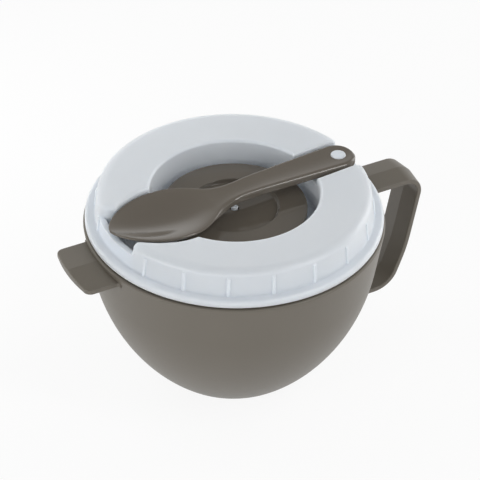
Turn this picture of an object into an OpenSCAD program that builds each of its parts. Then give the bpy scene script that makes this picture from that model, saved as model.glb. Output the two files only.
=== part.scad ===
// Soup mug with a press-on lid, a vent dial in the lid's well and a spoon lying across the lid.
// Millimetres. The origin is the middle of the base, +Z is up and +X points to the handle.

/* [Bowl] */
// Outside radius of the rim
rim_r = 75; // [66:0.5:84]
// Height of the rim's ledge above the base
mug_h = 87; // [78:1:98]
// Thickness of the bowl's wall
wall = 2.2; // [1.8:0.1:3]
// Thickness of the base
base_t = 2.6; // [2:0.1:4]
// Lean of the straight upper wall, in degrees
wall_lean = 8; // [5:0.5:11]
// Height of the straight upper wall
straight_h = 24; // [16:1:30]
// Radius of the bulging lower wall, seen from the side
belly_r = 105; // [96:1:125]
// Rounding where the lower wall meets the base
foot_round = 5; // [3:0.5:8]
// Width of the ledge that the lid's skirt stands over
ledge_w = 2.6; // [2:0.1:3.2]
// Height of the sealing upstand inside the ledge
upstand_h = 2.8; // [2:0.1:4]
// Thickness of the sealing upstand
upstand_t = 2.2; // [1.6:0.1:2.8]
// Rounding of the rim's outer edge
rim_round = 1; // [0.5:0.1:1.6]

/* [Handle] */
// Drop of the strap's upper edges below the ledge
handle_drop = 2; // [1.5:0.1:5]
// Width of the strap
strap_w = 22; // [16:0.5:28]
// Thickness of the strap at its edges
strap_t = 2.6; // [2:0.1:4]
// Rise of the ridge along the strap's outer face
strap_ridge = 1.3; // [0.6:0.1:1.4]
// Rise of the ridge along the strap's inner face
strap_ridge_in = 0.9; // [0.4:0.1:1.6]
// Length of the strap's straight top, from the rim to its bend
handle_reach = 19; // [14:0.5:26]
// Radius of the upper bend, to the middle of the strap
upper_bend_r = 8.2; // [6:0.2:12]
// Lean of the grip towards the bowl, in degrees
grip_lean = 10; // [4:0.5:14]
// Length of the grip's straight part
grip_l = 26; // [20:0.5:30]
// Radius of the grip's slow inward curve
sweep_r = 80; // [60:1:110]
// Angle of the slow inward curve
sweep_a = 10; // [5:0.5:14]
// Length of the straight part below the slow curve
heel_l = 8; // [4:0.5:11]
// Radius of the lower bend, to the middle of the strap
lower_bend_r = 13; // [9:0.5:15]

/* [Tab] */
// Reach of the counter-grip tab beyond the rim
tab_reach = 15.5; // [10:0.5:20]
// Width of the tab
tab_w = 37; // [28:0.5:44]
// Thickness of the tab at its edges
tab_t = 2.6; // [2:0.1:4]
// Rise of the ridge along the tab's upper face
tab_ridge = 1.6; // [0.6:0.1:2]
// Drop of the tab's upper edges below the ledge
tab_drop = 3.3; // [2.6:0.1:6]
// Bow of the tab's outer edge
tab_bow = 2.3; // [1:0.1:4]
// Rounding of the tab's corners
tab_corner = 4; // [2:0.5:7]

/* [Lid] */
// Angle that the lid sits turned on the mug, in degrees
lid_turn = 2; // [-20:1:20]
// Distance of the lid's edge inside the rim's edge
lid_inset = 1; // [0.6:0.1:1.2]
// Clear height between the lid's edge and the ledge
lid_gap = 1; // [0.5:0.1:1.6]
// Thickness of the lid
lid_t = 1.4; // [1.1:0.1:1.6]
// Height of the lid's ring above the lid's edge
ring_h = 16.4; // [13.5:0.2:20]
// Distance of the ring's wall inside the rim's edge, where it leaves the skirt
ring_inset = 6; // [5.6:0.1:7.5]
// Lean of the ring's outer wall, in degrees
ring_lean = 7; // [3:0.5:10]
// Rounding of the ring's outer shoulder
shoulder_round = 3.2; // [2:0.1:4.5]
// Fall of the ring's top from the shoulder to the well
crown_fall = 0.8; // [0.2:0.1:1.6]
// Rounding of the skirt's outer edge
skirt_round = 1.6; // [0.8:0.1:2]
// Number of ribs round the ring
rib_count = 20; // [12:1:28]
// Width of a rib
rib_w = 1.3; // [0.6:0.1:1.6]
// Height of a rib above the ring's wall
rib_rise = 0.7; // [0.3:0.1:1]

/* [Well] */
// Radius of the well's mouth
well_r = 42; // [40:0.5:44]
// Depth of the well's floor below the lid's edge
well_drop = 3.8; // [2:0.2:6]
// Draft of the well's wall, in degrees
well_draft = 1; // [0:0.5:2]
// Rounding of the well's lip
lip_round = 1.6; // [0.6:0.1:1.8]
// Radius of the pedestal that carries the dial
pedestal_r = 33; // [31:0.5:34]
// Height of the pedestal above the well's floor
pedestal_h = 5.4; // [3:0.2:6.4]

/* [Spoon channel] */
// Width of the channel along the spoon's handle
slot_w = 22.4; // [20:0.2:26]
// Depth of that channel below the ring's top
slot_depth = 6.4; // [5.4:0.1:9]
// Rounding of the channel's upper edges
slot_round = 2; // [1:0.1:3]
// Depth of the pocket under the spoon's bowl, below the ring's top
pocket_depth = 12; // [11.6:0.1:13.4]
// Clearance between the pocket and the spoon's bowl
pocket_gap = 2.2; // [1:0.1:2.6]
// Half width of the pocket where it meets the curb
pocket_mouth = 15.5; // [13:0.5:18]
// Depth of the curb's top below the ring's top
curb_depth = 6; // [5:0.1:9]
// Thickness of the curb that closes the pocket, at its top
curb_t = 1.5; // [1.2:0.1:3]

/* [Vent dial] */
// Radius of the dial
dial_r = 36.2; // [34.8:0.2:38]
// Thickness of the dial's rim
dial_t = 3.9; // [3.2:0.1:4.6]
// Radius of the recess in the dial's top
recess_r = 22.3; // [16:0.1:23]
// Depth of the recess
recess_d = 1.8; // [1.2:0.1:2]
// Radius of the split pin that the dial turns on
pin_r = 2.2; // [2:0.1:3.5]
// Swing of the dial from shut to open, in degrees
vent_swing = 90; // [60:5:90]
// Width of the vent window, in degrees
vent_span = 32; // [20:1:40]

/* [Spoon] */
// Length of the spoon
spoon_l = 137.5; // [132:0.5:139]
// Width of the spoon's bowl
bowl_w = 40.2; // [36:0.2:42]
// Length of the spoon's bowl
bowl_l = 62.5; // [56:0.5:66]
// Depth of the hollow in the spoon's bowl
bowl_d = 5; // [3.5:0.1:5.2]
// Thickness of the spoon's bowl
bowl_t = 1.6; // [1.2:0.1:1.8]
// Width of the spoon's neck
neck_w = 13.2; // [9:0.2:15]
// Width of the handle's round end
end_w = 18.8; // [16:0.2:20]
// Thickness of the spoon's handle
stem_t = 4.4; // [3.6:0.1:5]
// Rounding of the handle's upper edges
stem_round = 2; // [1:0.1:2.4]
// Depth of the hollow along the handle
stem_dish = 0.5; // [0.2:0.1:0.8]
// Fall of the spoon's edge from its handle to its bowl
stem_fall = 3.1; // [2.6:0.1:3.5]
// Rise of the bowl's tip above the middle of its edge
tip_rise = 1.7; // [0.6:0.1:2]
// Distance of the peg hole from the handle's end
hole_inset = 8.6; // [7.5:0.1:9.4]
// Radius of the peg that holds the spoon
peg_r = 3.8; // [3:0.1:4.4]
// Distance of the peg inside the ring's wall
peg_inset = 9; // [8:0.2:11]

/* [Hidden] */

// Running clearance of a pin in its bore
run_gap = 0.05;
// Clearance between faces that lie close without touching
free_gap = 0.3;
// Length by which a cut runs past the face it opens
overrun = 1;
// Segments in a quarter of a rounding, along the belly and around a revolve
round_steps = 6;
belly_steps = 16;
turn_fn = 144;

taupe = [0.46, 0.43, 0.39];
taupe_dark = [0.38, 0.35, 0.32];
frosted = [0.86, 0.89, 0.92, 0.7];

// Points of an arc about a centre, from one angle to another
function arc(c, r, a0, a1, n = round_steps) =
    [for (i = [0 : n]) let (a = a0 + (a1 - a0) * i / n) [c[0] + r * cos(a), c[1] + r * sin(a)]];
// The same outline on the other side of the axis, in reverse order
function flipped(points) =
    [for (i = [len(points) - 1 : -1 : 0]) [points[i][0], -points[i][1]]];
// Smooth step from 0 to 1
function ease(t) = let (u = min(1, max(0, t))) u * u * (3 - 2 * u);

// Bowl, revolved: a straight leaning wall, a belly arc and a rounded foot
belly_top = [rim_r - straight_h * tan(wall_lean), mug_h - straight_h];
belly_c = [belly_top[0] - belly_r * cos(wall_lean), belly_top[1] + belly_r * sin(wall_lean)];

// Angle below the horizontal at which the belly, drawn in by t, meets a rounding on a floor
function foot_a(t, floor_z, round_r) = asin((belly_c[1] - floor_z - round_r) / (belly_r - t - round_r));
// Wall line from the ledge down to the floor, drawn in from the outside by t
function bowl_side(t, floor_z, round_r) =
    let (a = foot_a(t, floor_z, round_r),
         foot = belly_c + (belly_r - t - round_r) * [cos(a), -sin(a)])
    concat([[rim_r - t / cos(wall_lean), mug_h]],
           arc(belly_c, belly_r - t, -wall_lean, -a, belly_steps),
           arc(foot, round_r, -a, -90));
// Outside radius of the belly at a height
function belly_at(z) = belly_c[0] + sqrt(belly_r * belly_r - (z - belly_c[1]) * (z - belly_c[1]));

upstand_r = rim_r - ledge_w;
upstand_in = upstand_r - upstand_t;
upstand_z = mug_h + upstand_h;
upstand_round = upstand_t / 4;
// The wall thickens inwards under the ledge to carry the upstand
neck_z = mug_h - wall;
neck_in = rim_r - wall / cos(wall_lean) - wall * tan(wall_lean);
neck_foot_z = neck_z - (neck_in - upstand_in);
neck_foot_r = rim_r - wall / cos(wall_lean) - (mug_h - neck_foot_z) * tan(wall_lean);

// Strap section across its thickness and width: thick along the middle, with rounded edges
strap_edge = strap_t / 3;
strap_half = strap_w / 2;
strap_section = concat(
    arc([strap_t / 2 - strap_edge, strap_half - strap_edge], strap_edge, 90, 0, round_steps / 2),
    [[strap_t / 2 + strap_ridge, 0]],
    arc([strap_t / 2 - strap_edge, strap_edge - strap_half], strap_edge, 0, -90, round_steps / 2),
    arc([strap_edge - strap_t / 2, strap_edge - strap_half], strap_edge, -90, -180, round_steps / 2),
    [[-strap_t / 2 - strap_ridge_in, 0]],
    arc([strap_edge - strap_t / 2, strap_half - strap_edge], strap_edge, 180, 90, round_steps / 2));

// Strap path seen from the side: each leg is a length, a bend radius and the turn that follows it
strap_sink = strap_w / 4;
strap_top_z = mug_h - handle_drop - strap_t / 2;
strap_start = [rim_r - strap_sink, strap_top_z];
strap_legs = [
    [handle_reach + strap_sink, upper_bend_r, 90 + grip_lean],
    [grip_l, sweep_r, sweep_a],
    [heel_l, lower_bend_r, 90 - grip_lean - sweep_a]];
// Heading before a leg, and the point where a leg starts
function heading(i) = i == 0 ? 0 : heading(i - 1) - strap_legs[i - 1][2];
function along(a) = [cos(a), sin(a)];
function right_of(a) = [sin(a), -cos(a)];
function leg_end(i) = leg_start(i) + strap_legs[i][0] * along(heading(i));
function bend_c(i) = leg_end(i) + strap_legs[i][1] * right_of(heading(i));
function leg_start(i) = i == 0 ? strap_start : bend_c(i - 1) - strap_legs[i - 1][1] * right_of(heading(i));
strap_root = leg_start(len(strap_legs));
strap_root_l = strap_root[0] - belly_at(strap_root[1]) + strap_sink;
// Degrees of turn between two sections of a bend, at most
bend_step = 10;
// Places along the strap, each a point and a heading
strap_places = concat(
    [[strap_start, 0]],
    [for (i = [0 : len(strap_legs) - 1], n = ceil(strap_legs[i][2] / bend_step), k = [0 : n])
        let (a = heading(i) - strap_legs[i][2] * k / n)
        [bend_c(i) - strap_legs[i][1] * right_of(a), a]],
    [[strap_root + strap_root_l * along(-180), -180]]);
// Section of the strap set square to its path at a place
function strap_ring(place) =
    let (out = -right_of(place[1]))
    [for (p = strap_section) [place[0][0] + p[0] * out[0], -p[1], place[0][1] + p[0] * out[1]]];

// Tab outline seen from above, along +X: bowed outer edge with rounded corners
tab_half = tab_w / 2;
tab_end = rim_r + tab_reach;
tab_bow_r = (tab_half * tab_half + tab_bow * tab_bow) / (2 * tab_bow);
tab_root = rim_r - tab_w / 4;
tab_straight = tab_half - tab_corner;
tab_bow_a = asin(tab_straight / tab_bow_r);
tab_corner_x = tab_end - tab_bow_r + tab_bow_r * cos(tab_bow_a) - tab_corner;
tab_side = concat(arc([tab_end - tab_bow_r, 0], tab_bow_r, 0, tab_bow_a),
                  arc([tab_corner_x, tab_straight], tab_corner, 0, 90),
                  [[tab_root, tab_half]]);
tab_plan = concat(tab_side, flipped(tab_side));
tab_top_z = mug_h - tab_drop;
tab_edge = tab_t / 4;
tab_section = [[-tab_half, tab_top_z - tab_t + tab_edge], [-tab_half, tab_top_z - tab_edge],
               [tab_edge - tab_half, tab_top_z], [0, tab_top_z + tab_ridge],
               [tab_half - tab_edge, tab_top_z], [tab_half, tab_top_z - tab_edge],
               [tab_half, tab_top_z - tab_t + tab_edge], [tab_half - tab_edge, tab_top_z - tab_t],
               [tab_edge - tab_half, tab_top_z - tab_t]];

// Lid heights and radii
lid_r = rim_r - lid_inset;
ring_r = rim_r - ring_inset;
edge_z = mug_h + lid_gap;
ring_z = edge_z + ring_h;
seat_z = upstand_z;
skirt_z = seat_z + lid_t;
skirt_in = upstand_r + free_gap;
plug_r = upstand_in - free_gap;
floor_z = edge_z - well_drop;
lid_base_z = floor_z - lid_t;
pedestal_z = floor_z + pedestal_h;
lip_z = ring_z - crown_fall;
well_floor_r = well_r - (lip_z - floor_z) * tan(well_draft);
// Outside of the ring's leaning wall at a height
function ring_at(z) = ring_r - (z - skirt_z) * tan(ring_lean);
// Centre of the shoulder's rounding, whose arc ends level with the ring's top
shoulder_z = ring_z - shoulder_round;
shoulder_c = [ring_at(shoulder_z) - shoulder_round / cos(ring_lean), shoulder_z];
shoulder_in = shoulder_round - lid_t;
plug_in = ring_r - lid_t / cos(ring_lean);

// Upper and outer outline of the lid, from its axis to the skirt, filled down to the lid's base
lid_outline = concat(
    [[0, lid_base_z], [0, pedestal_z], [pedestal_r, pedestal_z], [pedestal_r, floor_z],
     [well_floor_r, floor_z]],
    arc([well_r + lip_round, lip_z - lip_round], lip_round, 180, 90),
    arc(shoulder_c, shoulder_round, 90, ring_lean),
    [[ring_r, skirt_z]],
    arc([lid_r - skirt_round, skirt_z - skirt_round], skirt_round, 90, 0),
    [[lid_r, edge_z], [skirt_in, edge_z], [skirt_in, seat_z], [plug_r, seat_z], [plug_r, lid_base_z]]);
// Hollow under the ring, and the hollow under the pedestal
ring_hollow = concat(
    [[well_floor_r + lid_t, lid_base_z - overrun], [well_floor_r + lid_t, floor_z],
     [well_r + lid_t, lip_z - lid_t]],
    arc(shoulder_c, shoulder_in, 90, ring_lean),
    [[plug_in, skirt_z], [plug_in, lid_base_z - overrun]]);
pedestal_in = pedestal_r - lid_t;

// Spoon channel
slot_half = slot_w / 2;
slot_z = ring_z - slot_depth;
pocket_z = ring_z - pocket_depth;
curb_z = ring_z - curb_depth;
curb_r = ring_at(curb_z) - curb_t;
above_z = ring_z + overrun;
// Section of the handle's channel, grown by t: straight sides that flare at the ring's top
function slot_section(t) =
    let (half = slot_half + t, side = concat(
        [[slot_z - t, half]],
        arc([ring_z - slot_round, half + slot_round], slot_round, -90, 0),
        [[above_z, half + slot_round]]))
    concat(side, flipped(side));

// Rib section in radius and height
rib_top_z = shoulder_z - rib_w;
rib_section = [[ring_at(skirt_z) - lid_t / 2, skirt_z - lid_t / 2],
               [ring_at(skirt_z) + rib_rise, skirt_z - lid_t / 2],
               [ring_at(rib_top_z) + rib_rise, rib_top_z],
               [ring_at(shoulder_z), shoulder_z],
               [ring_at(shoulder_z) - lid_t / 2, shoulder_z]];
// Share of a pitch by which the first rib stands off the channel's middle
rib_phase_share = 0.2;

// Dial and its pin
dial_z = pedestal_z + free_gap;
dial_top_z = dial_z + dial_t;
recess_z = dial_top_z - recess_d;
dial_lip = pedestal_h / 3;
dial_round = dial_t / 5;
recess_slope = recess_d / 2;
dial_in = pedestal_r + 2 * free_gap;
pin_bore = pin_r + run_gap;
pin_head_r = pin_r + recess_d / 2;
pin_head_z = recess_z + free_gap;
pin_top_z = dial_top_z - free_gap;
pin_slit = pin_r / 3;
vent_r_in = recess_r + recess_d;
vent_r_out = dial_in - recess_d - dial_t / 2;
// Places of the window and of the lid's slot round the dial, in degrees
vent_shut_a = 170;
vent_slot_a = vent_shut_a + vent_swing;

// Spoon: half width, edge height, hollow and thickness along its length, from end (0) to tip (1)
peg_x = ring_r - peg_inset;
spoon_end_x = peg_x + hole_inset;
tip_x = spoon_end_x - spoon_l;
spoon_z = ring_z;
stem_z = spoon_z - stem_t;
// Shares of the bowl's length from its tip to its widest place, and over which it narrows to the neck
bowl_wide_share = 0.48;
bowl_neck_share = 0.456;
wide_x = tip_x + bowl_l * bowl_wide_share;
// Shares of the spoon's length between which its edge falls to the bowl
fall_shares = [0.38, 0.73];
// Shares of the half width at which the section's upper and lower edges are set
top_shares = [-1, -0.97, -0.92, -0.75, -0.5, -0.25, 0, 0.25, 0.5, 0.75, 0.92, 0.97, 1];
bottom_shares = [0.95, 0.75, 0.5, 0.25, 0, -0.25, -0.5, -0.75, -0.95];
// Shares of the thickness at which the lower edge is set, on the handle and on the bowl
edge_shares = [0.8, 0.45];
// Powers of the egg outline before and behind its widest place, of the blend into the neck and of the
// fall of the handle's upper edges
egg_tip_power = 1.7;
egg_power = 0.65;
egg_neck_power = 3;
blend_power = 2.5;
round_power = 12;
spoon_steps = 44;

function from_end(x) = (spoon_end_x - x) / spoon_l;
// Place along the bowl: 0 at its widest, 1 at its tip or where it runs out in the neck
function egg_t(x) =
    min(1, x < wide_x ? (wide_x - x) / (wide_x - tip_x) : (x - wide_x) / (tip_x + bowl_l - wide_x));
function egg_half(x) =
    bowl_w / 2 * (x < wide_x ? pow(1 - pow(egg_t(x), egg_tip_power), egg_power)
                             : exp(-pow((x - wide_x) / (bowl_l * bowl_neck_share), egg_neck_power)));
// Handle: straight taper with a round end, which runs out at the bowl's widest place
function stem_half(x) =
    let (r = end_w / 2, c = spoon_end_x - r, d = x - c,
         taper = neck_w / 2 + (r - neck_w / 2) * max(0, x) / c)
    x < wide_x ? 0 : d > 0 ? sqrt(max(0, r * r - d * d)) : min(r, taper) * ease(egg_t(x));
// Bowl and handle run into each other
function spoon_half(x) =
    pow(pow(egg_half(x), blend_power) + pow(stem_half(x), blend_power), 1 / blend_power);
function bowl_share(x) = let (t = egg_t(x)) x < wide_x ? 1 - t * t : pow(1 - t * t, 2);
function spoon_edge_z(x) =
    let (s = from_end(x), f = ease((s - fall_shares[0]) / (fall_shares[1] - fall_shares[0])),
         r = max(0, (s - fall_shares[1]) / (1 - fall_shares[1])))
    spoon_z - stem_fall * f + tip_rise * r * r;
function spoon_dish(x) =
    max(bowl_d * bowl_share(x), stem_dish * ease(2 * (1 - egg_t(x)) + (x > wide_x ? 1 : 0)));
// Share of the bowl in a section: 0 on the handle, 1 in the bowl
function bowl_part(x) = ease(2 * bowl_share(x) + (x < wide_x ? 1 : 0));
function spoon_t(x) = stem_t + (bowl_t - stem_t) * bowl_part(x);
// Fall of the top at the handle's round end
function end_drop(x) =
    let (u = max(0, 1 - (spoon_end_x - x) / stem_round)) stem_round * (1 - sqrt(1 - u * u));
// Section of the spoon: hollow top, then an underside that follows the bowl and is flat on the handle
function spoon_ring(x) =
    let (h = spoon_half(x), z = spoon_edge_z(x), t = spoon_t(x), d = spoon_dish(x),
         b = bowl_d * bowl_share(x), c = stem_round * (1 - bowl_part(x)),
         e = edge_shares[0] + (edge_shares[1] - edge_shares[0]) * bowl_part(x))
    concat([for (v = top_shares)
               [x, v * h, z - d * (1 - v * v) - max(c * pow(abs(v), round_power), end_drop(x))]],
           [for (v = bottom_shares) let (w = abs(v) > bottom_shares[1] ? e : 1)
               [x, v * h, z - t * w - b * (1 - v * v)]]);
spoon_rings = [for (i = [1 : spoon_steps - 1])
    spoon_ring(spoon_end_x - spoon_l * (1 - cos(180 * i / spoon_steps)) / 2)];

// Closed skin through a list of rings that all have the same number of points
module loft(rings) {
    n = len(rings[0]);
    m = len(rings);
    sides = [for (i = [0 : m - 2], j = [0 : n - 1])
        let (a = i * n + j, b = i * n + (j + 1) % n)
        each [[a, b, b + n], [a, b + n, a + n]]];
    first = [[for (j = [n - 1 : -1 : 0]) j]];
    last = [[for (j = [0 : n - 1]) (m - 1) * n + j]];
    polyhedron([for (r = rings) each r], concat(first, sides, last));
}

module handle() {
    loft([for (place = strap_places) strap_ring(place)]);
}

module tab() {
    mirror([1, 0, 0]) intersection() {
        linear_extrude(mug_h) polygon(tab_plan);
        rotate([90, 0, 90]) linear_extrude(tab_end + overrun) polygon(tab_section);
    }
}

module bowl_outside() {
    side = bowl_side(0, 0, foot_round);
    below_rim = [for (i = [len(side) - 1 : -1 : 1]) side[i]];
    rim = arc([rim_r - rim_round, mug_h - rim_round], rim_round, 0, 90);
    upstand = arc([upstand_r - upstand_round, upstand_z - upstand_round], upstand_round, 0, 90);
    rotate_extrude($fn = turn_fn)
        polygon(concat([[0, 0]], below_rim, rim, [[upstand_r, mug_h]], upstand, [[0, upstand_z]]));
}

module bowl_inside() {
    side = bowl_side(wall, base_t, foot_round);
    below_neck = [for (i = [len(side) - 1 : -1 : 1]) side[i]];
    rotate_extrude($fn = turn_fn)
        polygon(concat([[0, base_t]], below_neck,
                       [[neck_foot_r, neck_foot_z], [upstand_in, neck_z],
                        [upstand_in, upstand_z + overrun], [0, upstand_z + overrun]]));
}

module mug() {
    color(taupe) difference() {
        union() {
            bowl_outside();
            handle();
            tab();
        }
        bowl_inside();
    }
}

// Half width of the pocket under the spoon's bowl, grown by t
function pocket_half(x, t) = spoon_half(x) + pocket_gap + t;
// Outline of the pocket from the middle of the well to the curb
function pocket_plan(t) =
    let (x0 = -well_r / 2, x1 = -curb_r + pocket_gap, n = belly_steps,
         side = concat([for (i = [0 : n]) let (x = x0 + (x1 - x0) * i / n)
                           [x, max(pocket_half(x, t), pocket_mouth + t)]],
                       [[-lid_r, pocket_mouth + t]]))
    concat(side, flipped(side));

// Space of the spoon channel: slot for the handle, pocket for the bowl, and the gap above the curb
module channel() {
    rotate([90, 0, 90]) linear_extrude(lid_r + overrun)
        polygon([for (p = slot_section(0)) [p[1], p[0]]]);
    intersection() {
        translate([0, 0, pocket_z]) linear_extrude(above_z - pocket_z) polygon(pocket_plan(0));
        translate([0, 0, pocket_z]) cylinder(r = curb_r, h = above_z - pocket_z, $fn = turn_fn);
    }
    translate([0, 0, curb_z]) linear_extrude(above_z - curb_z) polygon(pocket_plan(0));
}

// The same space grown by the lid's thickness, to leave walls and floors round it
module channel_walls() {
    rotate([90, 0, 90]) linear_extrude(lid_r + overrun)
        polygon([for (p = slot_section(lid_t)) [p[1], p[0]]]);
    translate([0, 0, pocket_z - lid_t]) linear_extrude(above_z - pocket_z + lid_t)
        polygon(pocket_plan(lid_t));
}

// Ribs at an even pitch, with none on the curb
module ribs() {
    pitch = 360 / rib_count;
    for (i = [0 : rib_count - 1])
        let (a = pitch * (i + rib_phase_share))
        if (cos(a) > 0 || abs(ring_r * sin(a)) > pocket_mouth)
            rotate(a) rotate([90, 0, 0]) linear_extrude(rib_w, center = true) polygon(rib_section);
}

// Sector of a ring round the axis, centred on an angle
module vent(a, z0, z1) {
    rotate(a - vent_span / 2) rotate_extrude(angle = vent_span, $fn = turn_fn)
        translate([vent_r_in, z0]) square([vent_r_out - vent_r_in, z1 - z0]);
}

// Pin with a snap head, split so that the dial can be pressed over it
module split_pin() {
    difference() {
        rotate_extrude($fn = turn_fn)
            polygon([[0, pedestal_z - lid_t], [pin_r, pedestal_z - lid_t], [pin_r, pin_head_z],
                     [pin_head_r, pin_head_z], [pin_r, pin_top_z], [0, pin_top_z]]);
        translate([-pin_head_r, -pin_slit / 2, dial_z])
            cube([2 * pin_head_r, pin_slit, pin_top_z - dial_z + overrun]);
    }
}

// Peg that passes through the spoon, on a boss that carries it
module peg() {
    boss_r = peg_r + 2 * lid_t;
    peg_z = spoon_z - stem_dish / 2;
    translate([peg_x, 0, slot_z - lid_t]) {
        cylinder(r = boss_r, h = stem_z - slot_z + lid_t, $fn = turn_fn);
        cylinder(r = peg_r, h = peg_z - slot_z + lid_t, $fn = turn_fn);
    }
}

module lid() {
    color(frosted) rotate(lid_turn) {
        difference() {
            union() {
                rotate_extrude($fn = turn_fn) polygon(lid_outline);
                ribs();
            }
            channel();
            difference() {
                rotate_extrude($fn = turn_fn) polygon(ring_hollow);
                channel_walls();
            }
            translate([0, 0, lid_base_z - overrun])
                cylinder(r = pedestal_in, h = pedestal_z - lid_t - lid_base_z + overrun, $fn = turn_fn);
            vent(vent_slot_a, pedestal_z - lid_t - overrun, pedestal_z + overrun);
        }
        split_pin();
        peg();
    }
}

module vent_dial() {
    color(taupe_dark) rotate(lid_turn) difference() {
        rotate_extrude($fn = turn_fn)
            polygon(concat(
                [[pin_bore, dial_z], [dial_in, dial_z], [dial_in, dial_z - dial_lip],
                 [dial_r, dial_z - dial_lip]],
                arc([dial_r - dial_round, dial_top_z - dial_round], dial_round, 0, 90),
                [[recess_r, dial_top_z], [recess_r - recess_slope, recess_z], [pin_bore, recess_z]]));
        vent(vent_shut_a, dial_z - overrun, dial_top_z + overrun);
    }
}

module spoon() {
    color(taupe_dark) rotate(lid_turn) difference() {
        loft(spoon_rings);
        translate([peg_x, 0, stem_z - overrun])
            cylinder(r = peg_r + run_gap, h = stem_t + 2 * overrun, $fn = turn_fn);
    }
}

mug();
lid();
vent_dial();
spoon();
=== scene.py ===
import math

import bmesh
import bpy
from mathutils import Matrix, Vector


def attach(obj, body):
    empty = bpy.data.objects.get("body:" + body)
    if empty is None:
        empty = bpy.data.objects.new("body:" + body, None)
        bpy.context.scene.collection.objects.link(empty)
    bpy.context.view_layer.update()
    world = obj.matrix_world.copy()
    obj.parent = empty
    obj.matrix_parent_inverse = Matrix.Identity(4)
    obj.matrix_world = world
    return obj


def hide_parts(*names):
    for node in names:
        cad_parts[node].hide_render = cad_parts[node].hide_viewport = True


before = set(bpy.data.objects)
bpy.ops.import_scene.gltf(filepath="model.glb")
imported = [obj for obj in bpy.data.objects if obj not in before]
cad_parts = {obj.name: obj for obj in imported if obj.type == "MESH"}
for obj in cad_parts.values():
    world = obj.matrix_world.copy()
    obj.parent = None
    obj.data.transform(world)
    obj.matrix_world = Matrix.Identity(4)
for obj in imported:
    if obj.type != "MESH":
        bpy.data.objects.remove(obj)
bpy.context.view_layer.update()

# Mug. A deep round-bottomed bowl with a strap handle on one side and a short grip tab on the other,
# one injection moulding in satin taupe polypropylene. Handle and tab rise to a low ridge along the
# mould's parting line, and a thin upstand inside the rim's ledge seals against the lid.
mm, weld, nothing = 0.001, 1e-6, 1e-7
rim_r, rim_z, wall, base_t = 75.0, 87.0, 2.2, 2.6
wall_lean = math.radians(8)
straight_h, belly_r, foot_round, rim_round, ledge_round = 24.0, 105.0, 5.0, 1.0, 0.4
ledge_w, upstand_h, upstand_t, upstand_round = 2.6, 2.8, 2.2, 0.6
fine_turn, foot_steps, belly_steps, round_steps, mug_over = 180, 10, 44, 12, 1.0


def arc(centre, r, a0, a1, n):
    """Points of an arc about a centre, from one angle to another."""
    turns = [a0 + (a1 - a0) * i / n for i in range(n + 1)]
    return [(centre[0] + r * math.cos(a), centre[1] + r * math.sin(a)) for a in turns]


def rounded(corners, n=round_steps):
    """Outline through corners (x, z, radius), each corner turned on its own radius."""
    out = []
    for i, (x, z, r) in enumerate(corners):
        if r == 0:
            out.append((x, z))
            continue
        corner = Vector((x, z))
        back = (Vector(corners[i - 1][:2]) - corner).normalized()
        ahead = (Vector(corners[(i + 1) % len(corners)][:2]) - corner).normalized()
        half = back.angle(ahead) / 2
        centre = corner + (back + ahead).normalized() * (r / math.sin(half))
        start = corner + back * (r / math.tan(half)) - centre
        end = corner + ahead * (r / math.tan(half)) - centre
        a0 = math.atan2(start.y, start.x)
        turn = (math.atan2(end.y, end.x) - a0 + math.pi) % (2 * math.pi) - math.pi
        out += arc(centre, r, a0, a0 + turn, n)
    return out


def add(tree, kind, links=None, **settings):
    """One node, with its settings, and its inputs linked or set."""
    made = tree.nodes.new(kind)
    for name, value in settings.items():
        setattr(made, name, value)
    for socket, value in (links or {}).items():
        if isinstance(value, bpy.types.NodeSocket):
            tree.links.new(value, made.inputs[socket])
        else:
            made.inputs[socket].default_value = value
    return made


def new_tree(name, kind, inputs, outputs):
    """A node group with named sockets, and its input and output nodes."""
    tree = bpy.data.node_groups.new(name, kind)
    for way, sockets in (("INPUT", inputs), ("OUTPUT", outputs)):
        for socket, socket_kind in sockets.items():
            tree.interface.new_socket(socket, in_out=way, socket_type="NodeSocket" + socket_kind)
    return tree, tree.nodes.new("NodeGroupInput"), tree.nodes.new("NodeGroupOutput")


def grid_place(tree, columns):
    """Row and column of each point of a grid that is so many points wide."""
    index = add(tree, "GeometryNodeInputIndex").outputs[0]
    row = add(tree, "ShaderNodeMath", {0: index, 1: columns}, operation="DIVIDE").outputs[0]
    row = add(tree, "ShaderNodeMath", {0: row}, operation="FLOOR").outputs[0]
    column = add(tree, "ShaderNodeMath", {0: index, 1: columns}, operation="MODULO").outputs[0]
    return row, column


def close_form(tree, form, place, finish, out):
    """Sets a grid's points, welds its seams, and ends the tree."""
    form = add(tree, "GeometryNodeSetPosition", {"Geometry": form, "Position": place}).outputs[0]
    form = add(tree, "GeometryNodeMergeByDistance", {"Geometry": form, "Distance": weld}).outputs[0]
    form = add(tree, "GeometryNodeRealizeInstances", {"Geometry": form}).outputs[0]
    form = add(tree, "GeometryNodeSetMaterial", {"Geometry": form, "Material": finish}).outputs[0]
    tree.links.new(form, out.inputs[0])


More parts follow.
